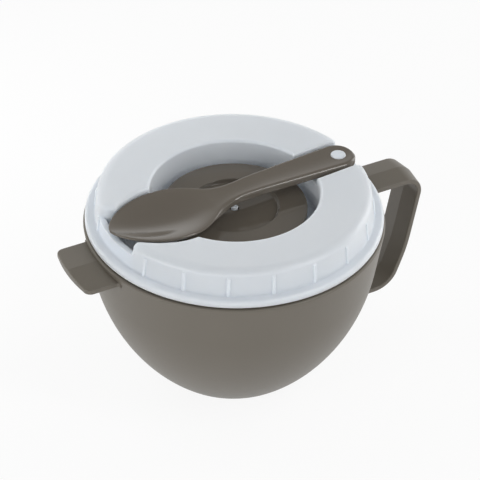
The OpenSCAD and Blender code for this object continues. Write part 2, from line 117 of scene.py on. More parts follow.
def turning_tree():
    """Turns a profile, drawn in X and Z, round the Z axis."""
    tree, given, out = new_tree(
        "turned_form", "GeometryNodeTree",
        {"Profile": "Geometry", "Steps": "Int", "Finish": "Material"}, {"Form": "Geometry"})
    profile, steps, finish = (given.outputs[k] for k in ("Profile", "Steps", "Finish"))
    count = add(tree, "GeometryNodeAttributeDomainSize", {0: profile}).outputs["Point Count"]
    columns = add(tree, "ShaderNodeMath", {0: steps, 1: 1.0}, operation="ADD").outputs[0]
    grid = add(tree, "GeometryNodeMeshGrid", {"Vertices X": count, "Vertices Y": columns})
    row, column = grid_place(tree, columns)
    point = add(tree, "GeometryNodeSampleIndex",
                {"Geometry": profile, "Index": row}, data_type="FLOAT_VECTOR", domain="POINT")
    tree.links.new(add(tree, "GeometryNodeInputPosition").outputs[0], point.inputs["Value"])
    split = add(tree, "ShaderNodeSeparateXYZ", {0: point.outputs["Value"]})
    share = add(tree, "ShaderNodeMath", {0: column, 1: steps}, operation="DIVIDE").outputs[0]
    angle = add(tree, "ShaderNodeMath", {0: share, 1: 2 * math.pi}, operation="MULTIPLY").outputs[0]
    flat = []
    for way in ("COSINE", "SINE"):
        turn = add(tree, "ShaderNodeMath", {0: angle}, operation=way).outputs[0]
        flat.append(add(tree, "ShaderNodeMath", {0: split.outputs["X"], 1: turn},
                        operation="MULTIPLY").outputs[0])
    place = add(tree, "ShaderNodeCombineXYZ",
                {"X": flat[0], "Y": flat[1], "Z": split.outputs["Z"]}).outputs[0]
    close_form(tree, grid.outputs["Mesh"], place, finish, out)
    return tree


def sweeping_tree():
    """Sweeps a closed section along a path that lies in X and Z and carries its outward direction."""
    tree, given, out = new_tree(
        "swept_strap", "GeometryNodeTree",
        {"Path": "Geometry", "Section": "Object", "Finish": "Material"}, {"Form": "Geometry"})
    path, finish = given.outputs["Path"], given.outputs["Finish"]
    section = add(tree, "GeometryNodeObjectInfo", {"Object": given.outputs["Section"]}).outputs["Geometry"]
    rows, columns = (add(tree, "GeometryNodeAttributeDomainSize", {0: g}).outputs["Point Count"]
                     for g in (path, section))
    grid = add(tree, "GeometryNodeMeshGrid", {"Vertices X": rows, "Vertices Y": columns})
    row, column = grid_place(tree, columns)
    position = add(tree, "GeometryNodeInputPosition").outputs[0]
    outward = add(tree, "GeometryNodeInputNamedAttribute", {"Name": "outward"},
                  data_type="FLOAT_VECTOR").outputs["Attribute"]
    found = [add(tree, "GeometryNodeSampleIndex", {"Geometry": g, "Index": i}, data_type="FLOAT_VECTOR")
             for g, i in ((path, row), (path, row), (section, column))]
    for node, value in zip(found, (position, outward, position)):
        tree.links.new(value, node.inputs["Value"])
    middle, out_way, spot = (node.outputs["Value"] for node in found)
    split = add(tree, "ShaderNodeSeparateXYZ", {0: spot})
    rise = add(tree, "ShaderNodeVectorMath", {0: out_way, "Scale": split.outputs["X"]},
               operation="SCALE").outputs[0]
    across = add(tree, "ShaderNodeCombineXYZ", {"Y": split.outputs["Z"]}).outputs[0]
    place = add(tree, "ShaderNodeVectorMath", {0: middle, 1: rise}, operation="ADD").outputs[0]
    place = add(tree, "ShaderNodeVectorMath", {0: place, 1: across}, operation="ADD").outputs[0]
    close_form(tree, grid.outputs["Mesh"], place, finish, out)
    return tree


def shown(name, mesh):
    """A piece in the scene that has this mesh."""
    piece = bpy.data.objects.new(name, mesh)
    bpy.context.scene.collection.objects.link(piece)
    return piece


def plain_mesh(piece):
    """The piece's mesh with its modifiers worked in."""
    bpy.context.view_layer.update()
    return bpy.data.meshes.new_from_object(piece.evaluated_get(bpy.context.evaluated_depsgraph_get()))


def points_mesh(name, points):
    """A mesh of loose points from profile points in millimetres, in X and Z."""
    mesh = bpy.data.meshes.new(name)
    mesh.from_pydata([(x * mm, 0, z * mm) for x, z in points], [], [])
    return mesh


def outward_faces(mesh):
    """Welds a closed form, fills its open ends and turns its faces outwards."""
    work = bmesh.new()
    work.from_mesh(mesh)
    bmesh.ops.remove_doubles(work, verts=work.verts, dist=weld)
    bmesh.ops.dissolve_degenerate(work, edges=work.edges, dist=nothing)
    bmesh.ops.holes_fill(work, edges=[e for e in work.edges if e.is_boundary])
    bmesh.ops.recalc_face_normals(work, faces=work.faces)
    work.to_mesh(mesh)
    work.free()


def formed(name, start, tree, **values):
    """Runs a tree on a start mesh and keeps the result as a plain mesh."""
    piece = shown(name, start)
    step = piece.modifiers.new("form", "NODES")
    step.node_group = tree
    for socket in tree.interface.items_tree:
        if socket.in_out == "INPUT" and socket.name in values:
            step[socket.identifier] = values[socket.name]
    mesh = plain_mesh(piece)
    piece.modifiers.clear()
    piece.data = mesh
    outward_faces(mesh)
    return piece


def worked(piece, tool, how):
    """Unites a piece with a tool, or cuts it by one. The tool is used up."""
    step = piece.modifiers.new("step", "BOOLEAN")
    step.operation, step.solver, step.object = how, "EXACT", tool
    mesh = plain_mesh(piece)
    piece.modifiers.clear()
    piece.data = mesh
    bpy.data.objects.remove(tool)


def stacked(name, loops):
    """A closed form through loops of points in millimetres that all have the same count."""
    n = len(loops[0])
    faces = [(i * n + j, i * n + (j + 1) % n, (i + 1) * n + (j + 1) % n, (i + 1) * n + j)
             for i in range(len(loops) - 1) for j in range(n)]
    faces += [tuple(range(n))[::-1], tuple((len(loops) - 1) * n + j for j in range(n))]
    mesh = bpy.data.meshes.new(name)
    mesh.from_pydata([[c * mm for c in p] for loop in loops for p in loop], [], faces)
    outward_faces(mesh)
    return shown(name, mesh)


def dressed(piece, finish, sharp):
    """Gives a piece its finish, smooth faces and edges that stay sharp above an angle in degrees."""
    outward_faces(piece.data)
    piece.data.materials.clear()
    piece.data.materials.append(finish)
    for face in piece.data.polygons:
        face.use_smooth, face.material_index = True, 0
    piece.data.set_sharp_from_angle(angle=math.radians(sharp))
    even = piece.modifiers.new("even", "WEIGHTED_NORMAL")
    even.keep_sharp = True
    mesh = plain_mesh(piece)
    piece.modifiers.clear()
    piece.data = mesh


flow_scale, flow_detail, grain_detail = (26, 26, 9), 3.0, 2.0
flow_low, flow_high, grain_mid, grain_deep, plastic_ior = 0.3, 0.7, 0.5, 0.0001, 1.49


def skin_tree():
    """Moulded plastic skin: slow drift of colour along the flow, fine grain, uneven gloss."""
    tree, given, out = new_tree(
        "moulded_skin", "ShaderNodeTree",
        {"Colour": "Color", "Drift": "Float", "Gloss": "Float", "Gloss spread": "Float",
         "Grain scale": "Float"},
        {"Colour": "Color", "Roughness": "Float", "Height": "Float"})
    spot = add(tree, "ShaderNodeTexCoord").outputs["Object"]
    flow = add(tree, "ShaderNodeMapping", {"Vector": spot, "Scale": flow_scale}).outputs[0]
    slow = add(tree, "ShaderNodeTexNoise", {"Vector": flow, "Scale": 1.0, "Detail": flow_detail}).outputs[0]
    fine = add(tree, "ShaderNodeTexNoise",
               {"Vector": spot, "Scale": given.outputs["Grain scale"], "Detail": grain_detail}).outputs[0]
    tone = add(tree, "ShaderNodeMapRange", {"Value": slow, "From Min": flow_low, "From Max": flow_high,
                                            "To Min": -0.5, "To Max": 0.5}).outputs[0]
    tone = add(tree, "ShaderNodeMath", {0: tone, 1: given.outputs["Drift"], 2: 1.0},
               operation="MULTIPLY_ADD").outputs[0]
    colour = add(tree, "ShaderNodeHueSaturation",
                 {"Value": tone, "Color": given.outputs["Colour"]}).outputs[0]
    lift = add(tree, "ShaderNodeMath", {0: fine, 1: grain_mid}, operation="SUBTRACT").outputs[0]
    rough = add(tree, "ShaderNodeMath", {0: lift, 1: given.outputs["Gloss spread"],
                                         2: given.outputs["Gloss"]}, operation="MULTIPLY_ADD").outputs[0]
    for socket, value in (("Colour", colour), ("Roughness", rough), ("Height", fine)):
        tree.links.new(value, out.inputs[socket])
    return tree


moulded_skin = skin_tree()


def plastic(name, colour, drift, gloss, spread, grain, bump, **shader_values):
    """A moulded plastic: the shared skin feeds the shader's colour, roughness and bump."""
    finish = bpy.data.materials.new(name)
    finish.use_nodes = True
    tree = finish.node_tree
    shader = tree.nodes["Principled BSDF"]
    skin = add(tree, "ShaderNodeGroup", node_tree=moulded_skin)
    for socket, value in (("Colour", (*colour, 1)), ("Drift", drift), ("Gloss", gloss),
                          ("Gloss spread", spread), ("Grain scale", grain)):
        skin.inputs[socket].default_value = value
    bumps = add(tree, "ShaderNodeBump", {"Strength": bump, "Distance": grain_deep,
                                         "Height": skin.outputs["Height"]})
    for socket, value in (("Base Color", skin.outputs["Colour"]), ("Roughness", skin.outputs["Roughness"]),
                          ("Normal", bumps.outputs[0])):
        tree.links.new(value, shader.inputs[socket])
    for socket, value in shader_values.items():
        shader.inputs[socket.replace("_", " ")].default_value = value
    return finish


satin_taupe = plastic("satin_taupe", (0.152, 0.135, 0.109), 0.05, 0.42, 0.10, 1400, 0.25, IOR=plastic_ior)
turned_form = turning_tree()


def turned(name, profile, finish, steps=fine_turn):
    """A closed form turned from profile points in millimetres."""
    return formed(name, points_mesh(name, profile), turned_form, Steps=steps, Finish=finish)


belly_top = (rim_r - straight_h * math.tan(wall_lean), rim_z - straight_h)
belly_c = (belly_top[0] - belly_r * math.cos(wall_lean), belly_top[1] + belly_r * math.sin(wall_lean))


def bowl_side(inset, floor):
    """Wall line from the middle of the floor to the top of the belly, drawn in by inset."""
    r = belly_r - inset
    a = math.asin((belly_c[1] - floor - foot_round) / (r - foot_round))
    foot = (belly_c[0] + (r - foot_round) * math.cos(a), belly_c[1] - (r - foot_round) * math.sin(a))
    turn = arc(foot, foot_round, -math.pi / 2, -a, foot_steps)
    return [(0, floor)] + turn + arc(belly_c, r, -a, -wall_lean, belly_steps)[1:]


upstand_r = rim_r - ledge_w
upstand_in = upstand_r - upstand_t
upstand_z = rim_z + upstand_h
neck_z = rim_z - wall
inside_r = rim_r - wall / math.cos(wall_lean)
neck_foot_z = neck_z - (inside_r - wall * math.tan(wall_lean) - upstand_in)
outside = bowl_side(0, 0) + rounded([
    (*belly_top, 0), (rim_r, rim_z, rim_round), (upstand_r, rim_z, ledge_round),
    (upstand_r, upstand_z, upstand_round), (0, upstand_z, 0)])[1:]
inside = bowl_side(wall, base_t) + [
    (inside_r - (rim_z - neck_foot_z) * math.tan(wall_lean), neck_foot_z), (upstand_in, neck_z),
    *arc((upstand_in + upstand_round, upstand_z - upstand_round), upstand_round, math.pi, math.pi / 2,
         round_steps),
    (upstand_in + upstand_round, upstand_z + mug_over), (0, upstand_z + mug_over)]
mug = turned("mug_body", outside, satin_taupe)

# The strap's path seen from the side: three straight legs, each followed by a bend.
handle_drop, strap_w, strap_t, strap_edge = 2.0, 22.0, 2.6, 0.85
strap_ridge, strap_ridge_in, ridge_round, strap_sink = 1.3, 0.9, 2.0, 5.5
strap_legs = ((19.0 + strap_sink, 8.2, 100), (26.0, 80.0, 10), (8.0, 13.0, 70))
bend_step, leg_step = math.radians(4), 4.0
path, ways = [], []
spot, heading = Vector((rim_r - strap_sink, rim_z - handle_drop - strap_t / 2)), 0.0


def lay(point, way):
    """One more place on the strap's path."""
    path.append(tuple(point))
    ways.append((-math.sin(way), 0, math.cos(way)))


def run(start, way, length):
    """A straight stretch of the strap from a place, and the place where it ends."""
    ahead = Vector((math.cos(way), math.sin(way)))
    n = max(1, round(length / leg_step))
    for i in range(n):
        lay(start + ahead * (length * i / n), way)
    return start + ahead * length


for leg, bend_r, bend_a in strap_legs:
    spot = run(spot, heading, leg)
    turn = math.radians(bend_a)
    hub = spot + Vector((math.sin(heading), -math.cos(heading))) * bend_r
    n = math.ceil(turn / bend_step)
    for i in range(n):
        a = heading - turn * i / n
        lay(hub - Vector((math.sin(a), -math.cos(a))) * bend_r, a)
    heading -= turn
    spot = hub - Vector((math.sin(heading), -math.cos(heading))) * bend_r
heel_r = belly_c[0] + math.sqrt(belly_r ** 2 - (spot.y - belly_c[1]) ** 2)
lay(run(spot, heading, spot.x - heel_r + strap_sink), heading)
strap_path = points_mesh("strap_path", path)
strap_path.attributes.new("outward", "FLOAT_VECTOR", "POINT").data.foreach_set(
    "vector", [c for way in ways for c in way])
half_t, half_w = strap_t / 2, strap_w / 2
section = rounded([
    (half_t, half_w, strap_edge), (half_t + strap_ridge, 0, ridge_round), (half_t, -half_w, strap_edge),
    (-half_t, -half_w, strap_edge), (-half_t - strap_ridge_in, 0, ridge_round),
    (-half_t, half_w, strap_edge)])
strap_section = shown("strap_section", points_mesh("strap_section", section + section[:1]))
handle = formed("handle", strap_path, sweeping_tree(), Section=strap_section, Finish=satin_taupe)
bpy.data.objects.remove(strap_section)
worked(mug, handle, "UNION")

# The tab's outline seen from above, bowed at its end, with rounded corners and a flare at its root.
tab_reach, tab_w, tab_t, tab_ridge, tab_drop = 15.5, 37.0, 2.6, 1.6, 3.3
tab_bow, tab_corner, tab_edge, tab_flare, tab_sink, tab_root_in = 2.3, 4.0, 0.7, 1.6, 8.0, 0.5
bow_steps, edge_steps, edge_turn, least_cos, ridge_near, mug_sharp = 10, 12, 7.5, 0.3, 0.01, 8.5
tab_half, tab_end, tab_z = tab_w / 2, rim_r + tab_reach, rim_z - tab_drop
bow_r = (tab_half ** 2 + tab_bow ** 2) / (2 * tab_bow)
bow_a = math.asin((tab_half - tab_corner) / bow_r)
corner_x = tab_end - bow_r + bow_r * math.cos(bow_a) - tab_corner
root_x = math.sqrt((rim_r - tab_root_in) ** 2 - tab_half ** 2)
side = (arc((tab_end - bow_r, 0), bow_r, 0, bow_a, bow_steps)
        + arc((corner_x, tab_half - tab_corner), tab_corner, 0, math.pi / 2, round_steps)
        + arc((root_x + tab_flare, tab_half + tab_flare), tab_flare, -math.pi / 2, -math.pi, round_steps)
        + [(root_x - tab_sink, tab_half + tab_flare), (root_x - tab_sink, 0)])
tab_plan = side + [(x, -y) for x, y in side[-2:0:-1]]


def drawn_in(plan, inset):
    """A closed outline moved inwards along its own normals."""
    out = []
    for i, point in enumerate(plan):
        before, after = Vector(plan[i - 1]), Vector(plan[(i + 1) % len(plan)])
        here = Vector(point)
        a, b = (here - before).normalized(), (after - here).normalized()
        way = Vector((-(a + b).y, (a + b).x)).normalized()
        out.append(tuple(here + way * (inset / max(least_cos, math.cos(a.angle(b, 0) / 2)))))
    return out


tab_loops = []
for step in range(-edge_steps, edge_steps + 1):
    tip = math.radians(edge_turn * step)
    inset = tab_edge * (1 - math.cos(tip))
    loop = drawn_in(tab_plan, inset)
    if step < 0:
        tab_loops.append([(-x, y, tab_z - tab_t + tab_edge * (1 + math.sin(tip))) for x, y in loop])
        continue
    top = [tab_z + tab_ridge * (1 - min(1, abs(y) / tab_half)) for x, y in loop]
    tab_loops.append([(-x, y, z - tab_edge * (1 - math.sin(tip))) for (x, y), z in zip(loop, top)])
tab = stacked("tab", tab_loops)
work = bmesh.new()
work.from_mesh(tab.data)
on_ridge = [v for v in work.verts
            if abs(v.co.y) < nothing and v.co.z > (tab_z + tab_ridge - ridge_near) * mm]
bmesh.ops.connect_verts(work, verts=on_ridge)
work.to_mesh(tab.data)
work.free()
worked(mug, tab, "UNION")
worked(mug, turned("bowl_inside", inside, satin_taupe), "DIFFERENCE")
dressed(mug, satin_taupe, mug_sharp)
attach(mug, "mug")
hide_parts("mug")

# Lid. One frosted polypropylene moulding: a skirt that stands over the rim, a ribbed hollow ring, a
# round well in its middle with a pedestal for the dial, a channel across the ring for the spoon, a
# peg that holds the spoon and a split pin that holds the dial. It presses onto the mug's upstand.
lid_turn = math.radians(2)
lid_t, lid_r, edge_z, ring_z = 1.4, 74.0, 88.0, 104.4
ring_r, ring_lean, shoulder_w, shoulder_h, crown_fall = 69.0, math.radians(7), 5.0, 3.2, 0.8
skirt_z, skirt_round, skirt_in, seat_z, plug_r = 91.2, 1.6, 72.7, 89.8, 69.9
well_r, well_foot_r, well_z, lip_round = 42.0, 41.66, 84.2, 1.6
pedestal_r, pedestal_z, lid_base_z = 33.0, 89.6, 82.8
lip_z, shoulder_z = ring_z - crown_fall, ring_z - shoulder_h
small_round, root_round, plug_round, over, lid_sharp = 0.35, 1.0, 0.5, 2.0, 24
lip_steps, shoulder_steps, hollow_steps, lid_steps = 12, 16, 10, 10


def ring_wall(z):
    """Outside radius of the ring's leaning wall at a height."""
    return ring_r - (z - skirt_z) * math.tan(ring_lean)


shoulder_end = math.atan(shoulder_h / shoulder_w * math.tan(ring_lean))
shoulder_c = (ring_wall(shoulder_z + shoulder_h * math.sin(shoulder_end))
              - shoulder_w * math.cos(shoulder_end), shoulder_z)


def shoulder(inset, n):
    """The ring's flattened shoulder from its top to its wall, drawn in by inset."""
    turns = [math.pi / 2 + (shoulder_end - math.pi / 2) * i / n for i in range(n + 1)]
    return [(shoulder_c[0] + (shoulder_w - inset) * math.cos(a),
             shoulder_c[1] + (shoulder_h - inset) * math.sin(a)) for a in turns]


def crown(r):
    """Height of the ring's top at a radius."""
    share = (r - well_r - lip_round) / (shoulder_c[0] - well_r - lip_round)
    return lip_z + crown_fall * min(1, max(0, share))


frosted = plastic("frosted_white", (0.76, 0.815, 0.89), 0.03, 0.32, 0.08, 1100, 0.15, IOR=plastic_ior,
                  Subsurface_Weight=1.0, Subsurface_Radius=(1, 1, 1), Subsurface_Scale=0.003,
                  Sheen_Weight=0.3)


def as_corners(points):
    """Points of an arc as corners that aren't rounded again."""
    return [(x, z, 0) for x, z in points]


lid_outline = rounded([
    (0, lid_base_z, 0), (0, pedestal_z, 0), (pedestal_r, pedestal_z, small_round),
    (pedestal_r, well_z, small_round), (well_foot_r, well_z, root_round),
    *as_corners(arc((well_r + lip_round, lip_z - lip_round), lip_round, math.pi, math.pi / 2, lip_steps)),
    *as_corners(shoulder(0, shoulder_steps)),
    (ring_r, skirt_z, root_round), (lid_r, skirt_z, skirt_round), (lid_r, edge_z, small_round),
    (skirt_in, edge_z, small_round), (skirt_in, seat_z, 0), (plug_r, seat_z, 0),
    (plug_r, lid_base_z, plug_round), (0, lid_base_z, 0)], lid_steps)
lid = turned("lid_body", lid_outline, frosted)

# Ribs stand round the ring's wall at an even pitch, with none on the curb that closes the pocket.
rib_count, rib_w, rib_rise, rib_first_share, bare_place = 20, 1.8, 0.7, 0.2, 10
rib_root, rib_top_z = lid_t / 2, shoulder_z - rib_w
rib_end_run, rib_end_rise, rib_square, rib_turn, rib_turns = 0.6, 0.75, 0.5, 15, 5


def rib_tree():
    """Sets copies of a rib round the Z axis, and leaves one place bare."""
    tree, given, out = new_tree(
        "rib_ring", "GeometryNodeTree",
        {"Rib": "Geometry", "Count": "Int", "First": "Float", "Bare": "Int", "Finish": "Material"},
        {"Ribs": "Geometry"})
    points = add(tree, "GeometryNodePoints", {"Count": given.outputs["Count"]}).outputs[0]
    index = add(tree, "GeometryNodeInputIndex").outputs[0]
    place = add(tree, "ShaderNodeMath", {0: index, 1: given.outputs["First"]}, operation="ADD").outputs[0]
    place = add(tree, "ShaderNodeMath", {0: place, 1: given.outputs["Count"]},
                operation="DIVIDE").outputs[0]
    angle = add(tree, "ShaderNodeMath", {0: place, 1: 2 * math.pi}, operation="MULTIPLY").outputs[0]
    turn = add(tree, "ShaderNodeCombineXYZ", {"Z": angle}).outputs[0]
    there = add(tree, "ShaderNodeMath", {0: index, 1: given.outputs["Bare"], 2: 0.5},
                operation="COMPARE").outputs[0]
    used = add(tree, "ShaderNodeMath", {0: 1.0, 1: there}, operation="SUBTRACT").outputs[0]
    form = add(tree, "GeometryNodeInstanceOnPoints", {
        "Points": points, "Selection": used, "Instance": given.outputs["Rib"], "Rotation": turn}).outputs[0]
    form = add(tree, "GeometryNodeRealizeInstances", {"Geometry": form}).outputs[0]
    form = add(tree, "GeometryNodeSetMaterial", {
        "Geometry": form, "Material": given.outputs["Finish"]}).outputs[0]
    tree.links.new(form, out.inputs[0])
    return tree


rib_loops = []
for z, rise in ((skirt_z - rib_root, rib_rise), (rib_top_z, rib_rise),
                (rib_top_z + rib_w * rib_end_run, rib_rise * rib_end_rise), (shoulder_z, 0.0)):
    wall_r, half = ring_wall(z), rib_w / 2
    face = [(wall_r + rise * math.cos(a) ** rib_square, half * math.sin(a))
            for a in (math.radians(rib_turn * k) for k in range(-rib_turns, rib_turns + 1))]
    loop = [(wall_r - rib_root, -half), (wall_r, -half), *face, (wall_r, half), (wall_r - rib_root, half)]
    rib_loops.append([(x, y, z) for x, y in loop])
rib = stacked("rib", rib_loops)
ribs = formed("ribs", rib.data.copy(), rib_tree(), Count=rib_count, First=rib_first_share,
              Bare=bare_place, Finish=frosted)
bpy.data.objects.remove(rib)
worked(lid, ribs, "UNION")

# The spoon's half width along the lid, which the pocket leaves room for.
peg_x, hole_inset, spoon_l, bowl_l, bowl_w = 60.0, 8.6, 137.5, 62.5, 40.2
neck_w, end_w, bowl_wide_share, bowl_neck_share = 13.2, 18.8, 0.48, 0.456
spoon_end = peg_x + hole_inset
tip_x = spoon_end - spoon_l
wide_x = tip_x + bowl_l * bowl_wide_share
egg_tip_power, egg_power, egg_neck_power, blend_power = 1.7, 0.65, 3.0, 2.5


def ease(t):
    """Smooth step from 0 to 1."""
    t = min(1.0, max(0.0, t))
    return t * t * (3 - 2 * t)


def egg_share(x):
    """Place along the spoon's bowl: 0 at its widest, 1 at its tip or where it ends in the neck."""
    reach = wide_x - tip_x if x < wide_x else tip_x + bowl_l - wide_x
    return min(1.0, abs(x - wide_x) / reach)


def spoon_half(x):
    """Half width of the spoon along the lid."""
    if x < wide_x:
        return bowl_w / 2 * (1 - egg_share(x) ** egg_tip_power) ** egg_power
    egg = bowl_w / 2 * math.exp(-((x - wide_x) / (bowl_l * bowl_neck_share)) ** egg_neck_power)
    end_r = end_w / 2
    past = x - (spoon_end - end_r)
    taper = neck_w / 2 + (end_r - neck_w / 2) * max(0, x) / (spoon_end - end_r)
    if past > 0:
        stem = math.sqrt(max(0, end_r ** 2 - past ** 2))
    else:
        stem = min(end_r, taper) * ease(egg_share(x))
    return (egg ** blend_power + stem ** blend_power) ** (1 / blend_power)


slot_half, slot_z, slot_round, slot_corner = 11.2, 98.0, 2.0, 2.2
pocket_z, pocket_round, side_power = 92.4, 1.8, 9.0
rear_gap, rear_mouth, rear_corner = 0.9, 7.5, 6.0
front_gap, front_mouth, front_corner = 4.4, 13.2, 3.0
curb_z, curb_r, curb_flare, floor_round, hair = 98.4, 65.2, 0.8, 1.0, 0.03
well_corner, corner_run, corner_lift, corner_out = 1.0, 5.0, 0.25, 0.08
side_first, side_part, side_steps, well_steps, out_steps, halvings = 0.07, 0.9, 30, 8, 14, 50
floor_turns = [math.radians(15 * k) for k in range(7)]
edge_turns = [math.radians(9 * k) for k in range(11)]


def beside_spoon(gap, mouth):
    """Half width of the pocket along X: it leaves a gap at the spoon and is straight at its mouth."""
    return lambda x: ((spoon_half(-x) + gap) ** side_power + mouth ** side_power) ** (1 / side_power)


def slot_side(x):
    """Half width of the slot, which is straight."""
    return slot_half


slot_sides = ((slot_side, slot_corner), (slot_side, slot_corner))
pocket_sides = ((beside_spoon(rear_gap, rear_mouth), rear_corner),
                (beside_spoon(front_gap, front_mouth), front_corner))


def ring_top(r):
    """Height of the ring's upper face at a radius, over its shoulder as well."""
    past = min(1, max(0, r - shoulder_c[0]) / shoulder_w)
    return crown(r) - shoulder_h * (1 - math.sqrt(1 - past ** 2))


def crossing(half, extra, r):
    """Where a side, given by its half width along X, meets a circle round the axis."""
    low, high = 0.0, r
    for halving in range(halvings):
        x = (low + high) / 2
        low, high = (x, high) if math.hypot(x, half(x) + extra) < r else (low, x)
    return Vector((x, half(x) + extra))


def side_plan(half, corner, extra, outer_r):
    """One side of a channel seen from above: round a corner at the well, along, and round one outside."""
    inner = crossing(half, extra, well_r)
    along = Vector((-inner.y, inner.x)).normalized()
    start = inner + (along - inner.normalized() * corner_lift) * corner_run
    hub = crossing(half, extra + corner, outer_r - corner + corner_out)
    reaches = [inner.x + (hub.x - inner.x) * (side_first + side_part * i / side_steps)
               for i in range(side_steps + 1)]
    last = hub * ((hub.length + corner + over) / hub.length)
    return (rounded([(*start, 0), (*inner, well_corner), *((x, half(x) + extra, 0) for x in reaches)],
                    well_steps)
            + arc(hub, corner, -math.pi / 2, math.atan2(hub.y, hub.x), out_steps)
            + [tuple(last), (lid_r + 2 * over, last.y)])


def trough(name, way, sides, floor, edge_r, grow):
    """A channel from the well to the outside: rounded along its floor and where it meets the ring's top."""
    levels = [(floor_round * (math.sin(a) - 1), floor - grow + floor_round * (1 - math.cos(a)), 0)
              for a in floor_turns]
    levels += [(edge_r * (1 - math.cos(a)), edge_r * (math.sin(a) - 1), 1) for a in edge_turns]
    levels.append((edge_r, ring_z + over, 0))
    loops = []
    for extra, z, follows in levels:
        outer_r = ring_wall(shoulder_z if follows else min(z, shoulder_z))
        rear, front = ([(way * x, y, z + (ring_top(math.hypot(x, y)) if follows else 0))
                        for x, y in side_plan(half, corner, extra + grow, outer_r)]
                       for half, corner in sides)
        loops.append(rear + [(x, -y, h) for x, y, h in front[::-1]])
    return stacked(name, loops)


plug_in, hollow_round, cap_round = ring_r - lid_t / math.cos(ring_lean), 0.8, 0.6
hollow = turned("ring_hollow", rounded([
    (well_foot_r + lid_t, lid_base_z - over, 0), (well_foot_r + lid_t, well_z, 0),
    (well_r + lid_t, lip_z - lid_t, hollow_round),
    *as_corners(shoulder(lid_t, hollow_steps)),
    (plug_in, skirt_z, 0), (plug_in, lid_base_z - over, 0), (well_foot_r + lid_t, lid_base_z - over, 0)]),
    frosted)
worked(hollow, trough("slot_walls", 1, slot_sides, slot_z, slot_round, lid_t), "DIFFERENCE")
worked(hollow, trough("pocket_walls", -1, pocket_sides, pocket_z, pocket_round, lid_t), "DIFFERENCE")
worked(lid, hollow, "DIFFERENCE")
worked(lid, trough("slot_space", 1, slot_sides, slot_z, slot_round, 0), "DIFFERENCE")
worked(lid, trough("curb_space", -1, pocket_sides, curb_z, pocket_round, 0), "DIFFERENCE")
pocket = trough("pocket_space", -1, pocket_sides, pocket_z, pocket_round, -hair)
keep = turned("pocket_keep", rounded([
    (0, pocket_z - over, 0), (curb_r, pocket_z - over, 0), (curb_r, curb_z, 0),
    (curb_r + curb_flare, curb_z + curb_flare, 0), (curb_r + curb_flare, ring_z + 2 * over, 0),
    (0, ring_z + 2 * over, 0)]), frosted)
worked(pocket, keep, "INTERSECT")
worked(lid, pocket, "DIFFERENCE")
worked(lid, turned("pedestal_hollow", rounded([
    (0, lid_base_z - over, 0), (pedestal_r - lid_t, lid_base_z - over, 0),
    (pedestal_r - lid_t, pedestal_z - lid_t, cap_round), (0, pedestal_z - lid_t, 0)]), frosted),
    "DIFFERENCE")

# The peg stands on a boss in the channel, and the split pin rises from the pedestal's middle.
peg_r, boss_r, stem_z, peg_z = 3.8, 6.6, 100.0, 104.15
boss_round, peg_round, pin_under, pin_round = 0.3, 0.5, 0.15, 0.4
pin_r, pin_head_r, pin_head_z, pin_top_z, pin_slit = 1.6, 2.0, 92.3, 92.9, 0.73
peg_turn, pin_turn, small_steps, vent_steps = 64, 48, 6, 16
dial_z, vent_in, vent_out, vent_span, vent_slot_a = 89.9, 24.1, 29.85, 32, 260


def moved(piece, x=0.0, turn=0.0):
    """A piece shifted along X, in millimetres, and turned round the Z axis."""
    piece.data.transform(Matrix.Rotation(turn, 4, "Z") @ Matrix.Translation((x * mm, 0, 0)))
    return piece


def sector(name, angle, z0, z1):
    """A curved block the size of the vent, centred on an angle in degrees."""
    half = math.radians(vent_span / 2)
    rim = arc((0, 0), vent_out, -half, half, vent_steps) + arc((0, 0), vent_in, half, -half, vent_steps)
    block = stacked(name, [[(x, y, z) for x, y in rim] for z in (z0, z1)])
    return moved(block, turn=math.radians(angle))


def bar(name, x, y, z0, z1):
    """A block across the Z axis, given its half sizes."""
    return stacked(name, [[(-x, -y, z), (x, -y, z), (x, y, z), (-x, y, z)] for z in (z0, z1)])


worked(lid, moved(turned("peg", rounded([
    (0, slot_z - lid_t, 0), (boss_r, slot_z - lid_t, 0), (boss_r, stem_z - hair, boss_round),
    (peg_r, stem_z - hair, 0), (peg_r, peg_z, peg_round), (0, peg_z, 0)], small_steps),
    frosted, peg_turn), peg_x), "UNION")
pin = turned("split_pin", rounded([
    (0, pedestal_z - lid_t / 2, 0), (pin_r, pedestal_z - lid_t / 2, 0), (pin_r, pin_head_z, 0),
    (pin_head_r, pin_head_z, pin_under), (pin_r, pin_top_z, pin_round), (0, pin_top_z, 0)], small_steps),
    frosted, pin_turn)
worked(pin, bar("slit", 2 * pin_r, pin_slit / 2, dial_z, pin_top_z + over), "DIFFERENCE")
worked(lid, pin, "UNION")
worked(lid, sector("vent_slot", vent_slot_a, pedestal_z - 2 * lid_t, pedestal_z + over), "DIFFERENCE")
moved(lid, turn=lid_turn)
dressed(lid, frosted, lid_sharp)
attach(lid, "lid")
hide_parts("lid")

